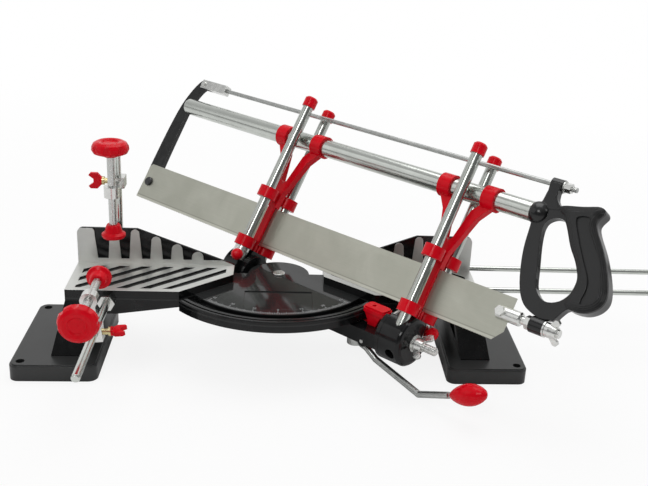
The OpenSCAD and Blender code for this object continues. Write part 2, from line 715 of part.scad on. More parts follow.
// nut with two wings, its axis along Z
wing_reach = 15;
module wing_nut(d, flange = 7, size = 1) {
    difference() {
        union() {
            rotate_extrude() polygon([
                [0, -washer_t], [flange, -washer_t], [flange, 0], [7, 0], [7, 2], [5.6, wing_h], [0, wing_h]
            ]);
            translate([0, 1.5, 0]) rotate([90, 0, 0]) linear_extrude(3) for (m = [0, 1]) mirror([m, 0])
                polygon(size * [[0, 1], [6, 1], [11, 5], [wing_reach, 8], [wing_reach + 0.5, 12],
                    [wing_reach - 2.5, 14.5], [9.5, 13.5], [6.5, wing_h - 1], [0, wing_h - 1]]);
        }
        translate([0, 0, -washer_t - eps]) cyl(d / 2 + run, wing_h + washer_t + 2 * eps);
    }
}
module tilt_wing_nut() {
    color(steel) swung() translate([0, 0, tilt_z]) along(head_end + air + washer_t)
        rotate([0, 0, -60]) wing_nut(stud_d, 9);
}

// carriers that slide on the pillars and hold the frame tube in two rings
guide_t = 3.2;
guide_half = 4.5;
bridge_half = 5.5;
strut_half = 2.5;
arm_half = 4;
module carrier(s) {
    top_z = collar_z + collar_rise;
    inner = blade_t / 2 + guide_gap;
    difference() {
        union() {
            for (q = [-pillar_q, pillar_q], z = [collar_z, top_z]) translate([s, q, z]) cyl(collar_d / 2, collar_h);
            for (m = [0, 1]) mirror([0, m, 0]) translate([s - guide_half, inner, collar_z])
                cube([2 * guide_half, guide_t, collar_rise + collar_h]);
            for (m = [0, 1], z = [collar_z, top_z]) mirror([0, m, 0]) translate([s - strut_half, inner, z])
                cube([2 * strut_half, pillar_q - inner, collar_h]);
            translate([s - bridge_half, -inner - guide_t, blade_up + blade_w + 1])
                cube([2 * bridge_half, 2 * (inner + guide_t), top_z + collar_h - blade_up - blade_w - 1]);
            translate([s, arm_half, 0]) rotate([90, 0, 0]) linear_extrude(2 * arm_half) for (m = [0, 1]) mirror([m, 0])
                polygon([
                    [0, top_z + 2], [bridge_half, top_z + 2], [bridge_half + 1, top_z + collar_h],
                    [ring_gap / 2 - 6, tube_z - ring_r - 12], [ring_gap / 2 + ring_l / 2 - 1, tube_z - ring_r + 5],
                    [ring_gap / 2 - ring_l / 2 + 1, tube_z - ring_r + 5], [ring_gap / 2 - ring_l / 2 - 8, tube_z - ring_r - 6],
                    [4, top_z + collar_h + 16], [0, top_z + collar_h + 12]
                ]);
            for (m = [-1, 1]) translate([s + m * ring_gap / 2 - ring_l / 2, 0, tube_z]) along() cyl(ring_r, ring_l);
        }
        for (q = [-pillar_q, pillar_q]) translate([s, q, collar_z - eps]) cyl(pillar_d / 2 + run, collar_rise + collar_h + 2 * eps);
        translate([s - ring_gap, 0, tube_z]) along() cyl(tube_d / 2 + run, 2 * ring_gap);
        translate([s - collar_d, -inner, collar_z - eps]) cube([2 * collar_d, 2 * inner, blade_up + blade_w + 1 - collar_z]);
    }
}
module front_carrier() { color(knob_red) tilted() carrier(pillar_s); }
module rear_carrier() { color(knob_red) tilted() carrier(rear_pillar_s); }

// saw: blade, frame tube, strap, tension rod, handle and tension screw
blade_corner = 9;
pin_d = 5;
pin_in = 8;
strap_in = 10;
strap_w = 20;
blade_back = blade_t / 2;
module blade() {
    color([0.75, 0.74, 0.7]) tilted() across() translate([0, 0, -blade_t / 2]) linear_extrude(blade_t) difference() {
        polygon([
            [blade_s0, blade_up], [blade_s1 - blade_corner, blade_up], [blade_s1, blade_up + blade_corner * 1.2],
            [blade_s1, blade_up + blade_w], [blade_s0 + 3, blade_up + blade_w], [blade_s0, blade_up + blade_w - 3]
        ]);
        translate([blade_s0 + strap_in, blade_up + blade_w / 2]) circle(pin_d / 2 + seat);
        translate([blade_s1 - pin_in, screw_z]) circle(pin_d / 2 + seat);
    }
}
module tube() {
    color(steel) tilted() translate([0, 0, tube_z]) difference() {
        along(-tube_s) rotate_extrude() polygon([
            [0, 0], [tube_d / 2 - 2, 0], [tube_d / 2 - 0.6, 0.6], [tube_d / 2, 2], [tube_d / 2, 2 * tube_s], [0, 2 * tube_s]
        ]);
        along(-tube_s + 12) cyl(tube_d / 2 - tube_wall, 2 * tube_s);
        translate([-tube_s - eps, blade_back - seat, -tube_d]) cube([6 + eps, strap_t + 2 * seat, 2 * tube_d]);
    }
}
// strap outline: distance outward from the blade screw, and height as a share from blade screw to rod
strap_outer = [[0, -0.08], [9, -0.04], [11, 0.06], [11.5, 0.3], [11, 0.55], [8.5, 0.76], [2, 0.92], [-6, 1.02], [-14, 1.04]];
strap_inner = [[-18, 0.97], [-14, 0.92], [-9.5, 0.83], [-7.5, 0.7], [-8, 0.5], [-8.7, 0.3], [-10, 0.08], [-8, -0.04]];
module strap() {
    z0 = blade_up + blade_w / 2;
    s0 = blade_s0 + strap_in;
    pts = [for (p = concat(strap_outer, strap_inner)) [s0 - p[0], z0 + p[1] * (rod_z - z0)]];
    color(black) tilted() difference() {
        translate([0, blade_back + strap_t, 0]) rotate([90, 0, 0]) linear_extrude(strap_t) difference() {
            polygon(smooth(pts, 3));
            translate([s0, z0]) circle(pin_d / 2 + seat);
            translate([clevis_s, rod_z]) circle(1.5 + seat);
        }
        along(-tube_s + 6 - seat) translate([-tube_z, 0, 0]) cyl(tube_d / 2 + seat, 2 * tube_d);
    }
}
module strap_screw() {
    color([0.2, 0.2, 0.2]) tilted() translate([blade_s0 + strap_in, 0, blade_up + blade_w / 2]) rotate([90, 0, 0]) {
        translate([0, 0, blade_t / 2]) plug(5.5, 3, 1);
        translate([0, 0, -blade_t / 2 - strap_t - 3]) cyl(pin_d / 2, blade_t + strap_t + 3.5);
        translate([0, 0, -blade_t / 2 - strap_t - 4]) hex(9, 4);
    }
}
clevis_l = 44;
clevis_h = 11;
clevis_t = 9;
clevis_s = blade_s0 + strap_in + 14;
strap_mid = blade_back + strap_t / 2;
module clevis() {
    color(steel) tilted() translate([clevis_s, strap_mid, rod_z]) difference() {
        union() {
            translate([-4, -clevis_t / 2, -clevis_h / 2]) cube([clevis_l, clevis_t, clevis_h]);
            rotate([90, 0, 0]) translate([0, 0, -clevis_t / 2 - 1.5]) cyl(3.2, clevis_t + 3);
        }
        translate([-5, -strap_t / 2 - seat, -clevis_h]) cube([19, strap_t + 2 * seat, 2 * clevis_h]);
        along(14) translate([0, 0, 4]) cyl(rod_d / 2 + seat, clevis_l);
    }
    color(steel) tilted() translate([clevis_s, strap_mid, rod_z]) rotate([90, 0, 0]) translate([0, 0, -clevis_t / 2]) cyl(1.5, clevis_t);
}
rod_tail = 14;
module tension_rod() {
    color(steel) tilted() translate([0, strap_mid, rod_z]) along(clevis_s + 20) cyl(rod_d / 2, boss_s1 + rod_tail - clevis_s - 20);
}
module rod_nuts() {
    color(steel) tilted() translate([0, strap_mid, rod_z]) along(boss_s1) difference() {
        union() {
            cyl(6, 1.2);
            translate([0, 0, 1.2]) hex(9, 4);
            translate([0, 0, 5.2]) hex(9, 3);
        }
        translate([0, 0, -eps]) cyl(rod_d / 2 + seat, 10);
    }
}

// handle outlines: distance outward from the tube end, and height as a share from the tension screw to the tube
boss_s0 = tube_s + 2.5;
boss_s1 = tube_s + 15.5;
low_s0 = tube_s + 41.5;
low_l = 14.5;
ball_r = 12;
ball_s = tube_s + 3;
handle_outer = [
    [5, 1.25], [14, 1.25], [17, 1.17], [26, 1.11], [44, 1.14], [60, 1.17], [66, 1.13], [63, 1.05], [68, 0.96],
    [80, 0.81], [91, 0.65], [98, 0.51], [100, 0.41], [96, 0.33], [88, 0.265], [77, 0.245], [69.5, 0.215], [62.4, 0.095],
    [58, 0.083], [52, 0.07], [42, 0.078], [28, 0.137], [17.6, 0.265], [9.3, 0.462], [4.1, 0.651], [1.4, 0.849],
    [-1, 1.0], [3, 1.12]
];
handle_open = [
    [15, 0.919], [22.6, 0.993], [32, 0.998], [38, 0.94], [49, 0.78], [60, 0.655], [68, 0.52], [68.5, 0.4], [60.5, 0.275],
    [46.2, 0.229], [33, 0.315], [25.2, 0.512], [16.4, 0.77]
];
grip_outer = [
    [27, 1.121], [46.7, 1.165], [63.8, 1.207], [70.1, 1.161], [66.1, 1.063], [69.6, 0.983], [82.8, 0.824],
    [93.6, 0.662], [101.2, 0.512], [103.4, 0.404], [99.3, 0.313], [90, 0.247], [78.5, 0.227], [69, 0.245], [67, 0.3],
    [69.5, 0.4], [69, 0.52], [61, 0.655], [50, 0.78], [39, 0.95], [33, 1.03], [25.5, 1.07]
];
grip_panel = [
    [47.4, 1.035], [59.5, 1.07], [62.1, 0.982], [72.9, 0.856], [85.2, 0.718], [92.7, 0.548], [96, 0.42], [93.5, 0.34],
    [83.4, 0.302], [83.6, 0.441], [80.1, 0.546], [68.3, 0.704], [56.7, 0.867]
];
function handle_pts(p) = smooth([for (a = p) [tube_s + a[0], screw_z + a[1] * (tube_z - screw_z)]], 4);
grip_panel_deep = 2.2;
grip_round = 7;
module slab(t) { translate([0, t / 2, 0]) rotate([90, 0, 0]) linear_extrude(t) children(); }
module handle() {
    color(black) tilted() difference() {
        union() {
            slab(web_t) difference() {
                polygon(handle_pts(handle_outer));
                polygon(handle_pts(handle_open));
            }
            for (a = [0 : 15 : 90]) slab(grip_t - 2 * grip_round * (1 - sin(a)))
                offset(delta = -grip_round * (1 - cos(a))) polygon(handle_pts(grip_outer));
            translate([0, strap_mid, rod_z]) along(boss_s0) cyl(top_boss_d / 2, boss_s1 - boss_s0);
            slab(web_t + 1) polygon([
                [boss_s0 + 1, tube_z + 4], [boss_s1 + 8, tube_z + 8], [boss_s1 - 1, tube_z + 18], [boss_s1 - 0.5, rod_z],
                [boss_s0 + 0.5, rod_z], [boss_s0 + 3, tube_z + 16]
            ]);
            translate([0, 0, screw_z]) along(low_s0) cyl(low_boss_d / 2, low_l);
            translate([ball_s, 0, tube_z]) sphere(ball_r);
        }
        translate([0, 0, tube_z]) along(tube_s - ball_r) cyl(tube_d / 2 + seat, ball_r);
        translate([0, strap_mid, rod_z]) along(boss_s0 - eps) cyl(rod_d / 2 + seat, boss_s1 - boss_s0 + 2 * eps);
        translate([0, 0, screw_z]) along(low_s0 - eps) cyl(tension_d / 2 + run, low_l + 2 * eps);
        translate([0, 0, screw_z]) along(low_s0 - 8) cyl(low_boss_d / 2 - 0.4, 8);
        translate([0, 0, screw_z]) along(low_s0 + low_l) cyl(low_boss_d / 2 + 0.3, 8);
        for (m = [0, 1]) mirror([0, m, 0]) translate([0, grip_t / 2 + eps, 0]) rotate([90, 0, 0])
            linear_extrude(grip_panel_deep + eps) polygon(handle_pts(grip_panel));
    }
}
sleeve_l = 26;
sleeve_s = blade_s1 - pin_in - 5;
module tension_screw() {
    color(steel) tilted() translate([0, 0, screw_z]) difference() {
        union() {
            along(sleeve_s) plug(7, sleeve_l, 1.5);
            along(sleeve_s + sleeve_l) cyl(tension_d / 2, low_s0 + low_l + 16 - sleeve_s - sleeve_l);
            along(low_s0 - 5.5) hex(12, 5.2);
        }
        translate([sleeve_s - eps, -blade_t / 2 - seat, -10]) cube([pin_in + 6 + eps, blade_t + 2 * seat, 20]);
        translate([blade_s1 - pin_in, -10, 0]) rotate([-90, 0, 0]) cyl(pin_d / 2 + seat, 20);
    }
}
module tension_pin() {
    color(steel) tilted() translate([blade_s1 - pin_in, 0, screw_z]) rotate([90, 0, 0]) {
        translate([0, 0, -8]) cyl(pin_d / 2, 16);
        translate([0, 0, 7]) hex(9, 3.5);
        translate([0, 0, -9]) cyl(4, 2);
    }
}
module tension_washer() {
    color(steel) tilted() translate([0, 0, screw_z]) along(low_s0 + low_l) ring(low_boss_d / 2, tension_d / 2 + run, washer_t);
}
module tension_wing_nut() {
    color(steel) tilted() translate([0, 0, screw_z]) along(low_s0 + low_l + 2 * washer_t + 0.1)
        rotate([0, 0, 35]) wing_nut(tension_d, 7, 0.85);
}

// clamps: rod along Z at the origin, screw along Z at clamp_arm on X, wing screw towards minus Y
upright_z = 160;
upright_top = 205;
level_y = 63;
level_len = 157;
pad_h = 14;
upright_pad_z = 116;
level_pad_y = 16;
upright_screw_l = 87;
level_screw_l = 95;
knob_h = 16;
pad_socket = 7;
module upright_frame() { at_pivot() translate([-clamp_x, clamp_back, 0]) rotate([0, 0, -90]) children(); }
module level_frame() {
    at_pivot() translate([-clamp_x, -table_d, level_z]) rotate([90, 0, 0]) rotate([0, 0, 90 + clamp_lean]) children();
}
block_w = 16;
module clamp_body(z) {
    difference() {
        translate([0, 0, z]) {
            translate([-block_w / 2, -block_w / 2, 0]) cube([block_w, block_w, clamp_block]);
            translate([0, -5, 2]) cube([clamp_arm, 10, clamp_block - 4]);
            translate([clamp_arm, 0, 0]) cyl(8, clamp_block);
        }
        translate([0, 0, z - eps]) cyl(clamp_rod_d / 2 + run, clamp_block + 2 * eps);
        translate([clamp_arm, 0, z - eps]) cyl(clamp_screw_d / 2 + run, clamp_block + 2 * eps);
        translate([0, 0, z + clamp_block / 2]) rotate([90, 0, 0]) cyl(wing_shaft_d / 2 + run, block_w);
    }
}
wing_shaft_d = 6;
module clamp_wing(z) {
    translate([0, -clamp_rod_d / 2 - air, z + clamp_block / 2]) rotate([90, 0, 0]) {
        cyl(wing_shaft_d / 2, 12);
        translate([0, 0, 9]) cyl(4.5, 4);
        translate([-2, 0, 0]) rotate([90, 0, 90]) linear_extrude(4)
            polygon([[-4, 12], [-8.5, 16], [-8.5, 23], [-6, 25], [-2, 20], [2, 20], [6, 25], [8.5, 23], [8.5, 16], [4, 12]]);
    }
}
lobe_n = 8;
module clamp_screw(z, l) {
    translate([clamp_arm, 0, z]) {
        translate([0, 0, pad_h - pad_socket]) cyl(clamp_screw_d / 2, l - pad_h + pad_socket + 3);
        translate([0, 0, l]) difference() {
            rotate_extrude() polygon([
                [0, 0], [6.5, 0], [7, 2.2], [clamp_knob_d / 2 - 5, 3], [clamp_knob_d / 2 - 1.6, 4.4],
                [clamp_knob_d / 2, 7.5], [clamp_knob_d / 2 - 0.4, knob_h - 5], [clamp_knob_d / 2 - 2, knob_h - 2],
                [clamp_knob_d / 2 - 5, knob_h - 0.3], [clamp_knob_d / 2 - 7, knob_h], [9, knob_h - 0.6],
                [7.5, knob_h - 2], [0, knob_h - 2.4]
            ]);
            for (i = [0 : lobe_n - 1]) rotate([0, 0, i * 360 / lobe_n]) translate([clamp_knob_d / 2 + 3, 0, 2.5])
                cyl(4.8, knob_h);
        }
    }
}
module clamp_pad(z) {
    translate([clamp_arm, 0, z]) difference() {
        rotate_extrude() polygon([
            [0, 0], [clamp_pad_d / 2 - 1, 0], [clamp_pad_d / 2, 1.5], [clamp_pad_d / 2, 4], [clamp_pad_d / 2 - 3, 6],
            [7.5, pad_h - 2], [6.5, pad_h], [0, pad_h]
        ]);
        translate([0, 0, pad_h - pad_socket - 0.1]) cyl(clamp_screw_d / 2 + run, 10);
    }
}
module upright_clamp_rod() {
    color(steel) at_pivot() translate([-clamp_x, clamp_back, socket_z + 4]) plug(clamp_rod_d / 2, upright_top - socket_z - 4, 1);
}
module level_clamp_rod() {
    color(steel) at_pivot() translate([-clamp_x, -table_d + level_seat, level_z]) rotate([90, 0, 0])
        plug(clamp_rod_d / 2, level_len + level_seat, 1);
}
module level_clamp_nut() {
    color(steel) at_pivot() translate([-clamp_x, -table_d, level_z]) rotate([90, 0, 0]) difference() {
        hex(15, 7);
        translate([0, 0, -eps]) cyl(clamp_rod_d / 2 + seat, 10);
    }
}
module upright_clamp_body() { color(steel) upright_frame() clamp_body(upright_z); }
module upright_clamp_wing() { color(knob_red) upright_frame() clamp_wing(upright_z); }
module upright_clamp_screw() { color(knob_red) upright_frame() clamp_screw(upright_pad_z, upright_screw_l); }
module upright_clamp_pad() { color(knob_red) upright_frame() clamp_pad(upright_pad_z); }
module level_clamp_body() { color(steel) level_frame() clamp_body(level_y); }
module level_clamp_wing() { color(knob_red) level_frame() clamp_wing(level_y); }
module level_clamp_screw() { color(knob_red) level_frame() clamp_screw(level_pad_y, level_screw_l); }
module level_clamp_pad() { color(knob_red) level_frame() clamp_pad(level_pad_y); }

// length stop: two rods in the right table end, joined by an upright plate
stop_plate_t = 8;
stop_plate_h = 52;
module stop_rods() {
    color(steel) at_pivot() for (y = [stop_front_y, stop_back_y]) translate([table_reach - stop_in, y, stop_rod_z])
        along() cyl(stop_rod_d / 2, stop_in + stop_reach);
}
module stop_plate() {
    color(black) at_pivot() translate([table_reach + stop_reach - stop_plate_t, 0, 0]) difference() {
        rotate([90, 0, 90]) linear_extrude(stop_plate_t) polygon([
            [stop_front_y - 8, stop_rod_z - 8], [stop_back_y + 8, stop_rod_z - 8], [stop_back_y + 8, stop_rod_z + 8],
            [stop_back_y - 8, table_z + stop_plate_h - 28], [stop_front_y + 26, table_z + stop_plate_h],
            [stop_front_y + 2, table_z + stop_plate_h], [stop_front_y - 8, table_z + stop_plate_h - 10]
        ]);
        for (y = [stop_front_y, stop_back_y]) translate([-eps, y, stop_rod_z]) along() cyl(stop_rod_d / 2 + seat, stop_plate_t + 2 * eps);
    }
}

base_casting();
left_foot();
right_foot();
foot_screws();
pivot_bolt();
pivot_nut();
upright_clamp_rod();
level_clamp_rod();
level_clamp_nut();
arm();
catch_pin();
front_stud();
rear_stud();
rear_nut();
catch();
lever_rod();
lever_knob();
front_head();
rear_head();
pillar_fl();
pillar_fr();
pillar_rl();
pillar_rr();
front_caps();
rear_caps();
front_stops();
rear_stops();
front_stop_screw();
rear_stop_screw();
tilt_wing_nut();
front_carrier();
rear_carrier();
blade();
tube();
strap();
strap_screw();
clevis();
tension_rod();
rod_nuts();
handle();
tension_screw();
tension_pin();
tension_washer();
tension_wing_nut();
upright_clamp_body();
upright_clamp_wing();
upright_clamp_screw();
upright_clamp_pad();
level_clamp_body();
level_clamp_wing();
level_clamp_screw();
level_clamp_pad();
stop_rods();
stop_plate();
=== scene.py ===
import json
import math
import bmesh
import bpy
from mathutils import Matrix, Vector

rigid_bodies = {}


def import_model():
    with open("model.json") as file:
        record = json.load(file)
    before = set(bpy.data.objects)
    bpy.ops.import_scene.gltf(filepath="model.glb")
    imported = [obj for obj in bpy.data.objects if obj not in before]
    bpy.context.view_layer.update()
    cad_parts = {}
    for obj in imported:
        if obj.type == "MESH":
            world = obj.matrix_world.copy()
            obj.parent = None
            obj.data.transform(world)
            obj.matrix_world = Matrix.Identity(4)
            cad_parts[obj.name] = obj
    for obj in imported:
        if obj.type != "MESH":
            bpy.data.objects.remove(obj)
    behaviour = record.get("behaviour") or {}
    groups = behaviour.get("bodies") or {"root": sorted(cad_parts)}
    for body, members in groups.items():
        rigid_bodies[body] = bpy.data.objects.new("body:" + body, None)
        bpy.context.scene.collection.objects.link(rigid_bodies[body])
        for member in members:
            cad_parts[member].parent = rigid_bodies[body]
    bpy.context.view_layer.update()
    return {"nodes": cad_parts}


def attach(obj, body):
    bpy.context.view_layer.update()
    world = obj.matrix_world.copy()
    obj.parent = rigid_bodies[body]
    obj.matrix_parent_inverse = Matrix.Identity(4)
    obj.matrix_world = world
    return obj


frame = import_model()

nodes = frame["nodes"]

# The saw's own directions, in the same frame as the solids. Sizes here are in millimetres.
MM = 0.001
MITRE = math.radians(45)
TILT = math.radians(34)
EAST, NORTH, UP = Vector((1, 0, 0)), Vector((0, 1, 0)), Vector((0, 0, 1))
# Along the arm and the blade
OUT = EAST * math.sin(MITRE) - NORTH * math.cos(MITRE)
# Across the arm, level
SIDE = EAST * math.cos(MITRE) + NORTH * math.sin(MITRE)
# Across the blade, and up the pillars
LEAN = SIDE * math.cos(TILT) - UP * math.sin(TILT)
RISE = UP * math.cos(TILT) + SIDE * math.sin(TILT)
PIVOT = Vector((0, 45, 0))
TILT_AXIS = PIVOT + UP * 57


def frame_at(origin, x, y, z):
    """Matrix that puts millimetres in the three directions at the origin into the scene."""
    rows = [[x[i] * MM, y[i] * MM, z[i] * MM, origin[i] * MM] for i in range(3)]
    return Matrix(rows + [[0, 0, 0, 1]])


def at(x, y, z):
    """A shift by millimetres, for use inside one of the frames below."""
    return Matrix.Translation((x, y, z))


IN_BASE = frame_at(PIVOT, EAST, NORTH, UP)
IN_ARM = frame_at(PIVOT, OUT, SIDE, UP)
IN_SAW = frame_at(TILT_AXIS, OUT, LEAN, RISE)
# Where each clamp's rod stands, and how far the level clamp's arm is turned from the table
UPRIGHT_FOOT = Vector((-171, 61, 0))
LEVEL_FOOT = Vector((-171, -26, 67))
CLAMP_LEAN = math.radians(95)
LEVEL_ARM = EAST * math.cos(CLAMP_LEAN) + UP * math.sin(CLAMP_LEAN)
LEVEL_WING = EAST * math.sin(CLAMP_LEAN) - UP * math.cos(CLAMP_LEAN)
UPRIGHT_CLAMP = frame_at(UPRIGHT_FOOT, -NORTH, EAST, UP)
LEVEL_CLAMP = frame_at(LEVEL_FOOT, LEVEL_ARM, -LEVEL_WING, -NORTH)


# Node trees
class Wire:
    """One output of a node tree. Sums and comparisons on it add Math nodes."""

    def __init__(self, graph, socket):
        self.graph, self.socket = graph, socket

    def math(self, operation, *others):
        return self.graph.add("ShaderNodeMath", {"operation": operation}, self, *others)[0]

    def __add__(self, other): return self.math("ADD", other)
    def __radd__(self, other): return self.math("ADD", other)
    def __sub__(self, other): return self.math("SUBTRACT", other)
    def __mul__(self, other): return self.math("MULTIPLY", other)
    def __rmul__(self, other): return self.math("MULTIPLY", other)
    def __truediv__(self, other): return self.math("DIVIDE", other)
    def __gt__(self, other): return self.math("GREATER_THAN", other)
    def __lt__(self, other): return self.math("LESS_THAN", other)
    def __abs__(self): return self.math("ABSOLUTE")
    def high(self, other): return self.math("MAXIMUM", other)

    def __rsub__(self, other):
        return self.graph.add("ShaderNodeMath", {"operation": "SUBTRACT"}, other, self)[0]

    def between(self, band):
        low, high = band
        return (self > low) * (self < high)

    def spread(self, low, high, to_low=0.0, to_high=1.0):
        """The value's run from low to high, stretched to another run and held at its ends."""
        return self.graph.add("ShaderNodeMapRange", {"clamp": True}, self, low, high, to_low, to_high)[0]


class Graph:
    """A node tree whose nodes all come from add()."""

    def __init__(self, tree):
        self.tree = tree

    def add(self, kind, settings=None, *values, **named):
        node = self.tree.nodes.new(kind)
        for key, value in (settings or {}).items():
            if key == "ramp":
                self._ramp(node.color_ramp, value)
            else:
                setattr(node, key, value)
        for index, value in list(enumerate(values)) + list(named.items()):
            if value is None:
                continue
            socket = node.inputs[index if isinstance(index, int) else index.replace("_", " ")]
            if isinstance(value, Wire):
                self.tree.links.new(value.socket, socket)
            else:
                socket.default_value = value
        return Outputs(self, node)

    def _ramp(self, ramp, stops):
        while len(ramp.elements) < len(stops):
            ramp.elements.new(0.5)
        for element, (place, colour) in zip(ramp.elements, stops):
            element.position, element.color = place, colour

    def mix(self, factor, first, second):
        node = self.add("ShaderNodeMix", {"data_type": "RGBA"})
        for index, value in ((0, factor), (6, first), (7, second)):
            if isinstance(value, Wire):
                self.tree.links.new(value.socket, node.node.inputs[index])
            else:
                node.node.inputs[index].default_value = value if index == 0 else rgba(value)
        return node[2]

    def vector(self, operation, *values):
        out = "Value" if operation in ("DOT_PRODUCT", "LENGTH") else "Vector"
        return self.add("ShaderNodeVectorMath", {"operation": operation}, *values)[out]


class Outputs:
    """The outputs of one node, each taken by its number or name."""

    def __init__(self, graph, node):
        self.graph, self.node = graph, node

    def __getitem__(self, key):
        return Wire(self.graph, self.node.outputs[key])


def rgba(colour):
    """The colour with full opacity, where it has none of its own."""
    return tuple(colour) + (1.0,) if len(colour) == 3 else tuple(colour)


# Rays that look for edge wear, and rays that round an edge
WEAR_SAMPLES, ROUND_SAMPLES = 6, 4


class Finish(Graph):
    """A material on object coordinates in millimetres, with one Principled shader."""

    def __init__(self, name, **fixed):
        self.material = bpy.data.materials.new(name)
        self.material.use_nodes = True
        super().__init__(self.material.node_tree)
        self.tree.nodes.clear()
        self.shader = self.tree.nodes.new("ShaderNodeBsdfPrincipled")
        out = self.tree.nodes.new("ShaderNodeOutputMaterial")
        self.tree.links.new(self.shader.outputs[0], out.inputs[0])
        for key, value in fixed.items():
            self.shader.inputs[key.replace("_", " ")].default_value = value
        raw = self.add("ShaderNodeTexCoord")["Object"]
        self.place = self.vector("SCALE", raw, None, None, 1 / MM)

    def along(self, direction, origin=(0, 0, 0)):
        """Millimetres in a direction from a point of the part."""
        offset = sum(a * b for a, b in zip(direction, origin))
        return self.vector("DOT_PRODUCT", self.place, tuple(direction)) - offset

    def axes(self, x, y, z, squeeze=(1, 1, 1)):
        """Millimetres along three directions. A small squeeze draws a pattern out along that one."""
        made = self.add("ShaderNodeCombineXYZ", None, self.along(x), self.along(y), self.along(z))[0]
        return self.vector("MULTIPLY", made, squeeze)

    def noise(self, size, where=None, detail=3.0, rough=0.55, distortion=0.0):
        """Noise whose blobs are about size millimetres across."""
        return self.add("ShaderNodeTexNoise", None, Vector=where or self.place, Scale=1.0 / size,
                        Detail=detail, Roughness=rough, Distortion=distortion)[0]

    def edge_wear(self, radius):
        """1 close to sharp edges, where the rounded normal leaves the face's own normal."""
        rounded = self.add("ShaderNodeBevel", {"samples": WEAR_SAMPLES}, radius * MM)[0]
        own = self.add("ShaderNodeNewGeometry")["Normal"]
        return (1 - self.vector("DOT_PRODUCT", rounded, own)).spread(0.004, 0.12)

    def done(self, colour, roughness, metallic, height, depth, strength=1.0, rounding=None):
        """The finished material. height becomes relief of depth mm, on edges rounded by rounding mm."""
        inputs = self.shader.inputs
        for key, value in (("Base Color", colour), ("Roughness", roughness), ("Metallic", metallic)):
            if isinstance(value, Wire):
                self.tree.links.new(value.socket, inputs[key])
            else:
                inputs[key].default_value = value
        smooth = self.add("ShaderNodeBevel", {"samples": ROUND_SAMPLES}, rounding * MM)[0] if rounding else None
        relief = self.add("ShaderNodeBump", None, Strength=strength, Distance=depth * MM, Height=height,
                          Normal=smooth)[0]
        self.tree.links.new(relief.socket, inputs["Normal"])
        return self.material


# Finishes
BASE_AXES = (EAST, NORTH, UP)
SAW_AXES = (OUT, LEAN, RISE)
PILLAR_AXES = (RISE, OUT, LEAN)
UPRIGHT_AXES = (UP, EAST, NORTH)
LEVEL_AXES = (NORTH, EAST, UP)
BLACK = (0.0035, 0.0038, 0.004)
WORN_BLACK = (0.06, 0.06, 0.06)
RED = (0.62, 0.0018, 0.0095)
BRIGHT_CHROME = (0.62, 0.645, 0.61)
# The pillars' chrome is a darker copy of the bright chrome: painted shade on the pillars
SHADED_CHROME = (0.48, 0.50, 0.47)
YELLOW_ZINC = (0.66, 0.56, 0.30)
KNOB_STEEL = (0.60, 0.61, 0.595)
# The shader's specular level on the black castings and on the red mouldings
ENAMEL_GLOSS, RED_GLOSS = 0.3, 0.14
# Faces of the base casting. The tables' machined tops lie between these heights, in front of the fence.
TABLE_BAND, FENCE_LINE = (78.7, 79.2), 0.4
# The fence's machined fingers: how far their face is from the pivot's line, to the sides and above the bench
FINGER_BAND, FINGERS_FROM, FINGER_FOOT = (-0.2, 0.35), 50, 78.9
DISC_BAND = (68.6, 70.2)
# The blade's hardened edge ends, and a dark line of painted tooth shadow along it starts and ends, at these
# heights
TOOTH_BAND = (34.6, 35.0)
TOOTH_SHADOW_START, TOOTH_SHADOW_END = (35.0, 35.4), (35.8, 36.3)


def enamel_parts(f):
    """Gloss black enamel on a casting: colour, roughness and height."""
    cloud = f.noise(14.0, detail=4.0)
    peel = f.noise(1.6, detail=2.0)
    dust = f.noise(0.9, detail=5.0, rough=0.7).spread(0.62, 0.8)
    colour = f.mix(cloud.spread(0.35, 0.7), BLACK, (0.0095, 0.010, 0.0105))
    colour = f.mix(dust * 0.05, colour, WORN_BLACK)
    colour = f.mix(f.edge_wear(0.5) * 0.16, colour, WORN_BLACK)
    rough = cloud.spread(0.3, 0.7, 0.09, 0.17) + dust * 0.12
    return colour, rough, peel * 0.5 + f.noise(5.0) * 0.7


def machined_parts(f, where):
    """Bare aluminium with the fine lines of a milling cutter: colour, roughness and height."""
    lines = f.noise(1.0, where=where, detail=4.0, rough=0.7)
    cloud = f.noise(22.0, detail=3.0)
    colour = f.mix(cloud.spread(0.3, 0.7), (0.74, 0.75, 0.72), (0.83, 0.84, 0.81))
    colour = f.mix(lines.spread(0.45, 0.8) * 0.3, colour, (0.60, 0.605, 0.58))
    rough = lines.spread(0.2, 0.8, 0.30, 0.46) + cloud * 0.05
    return colour, rough, lines


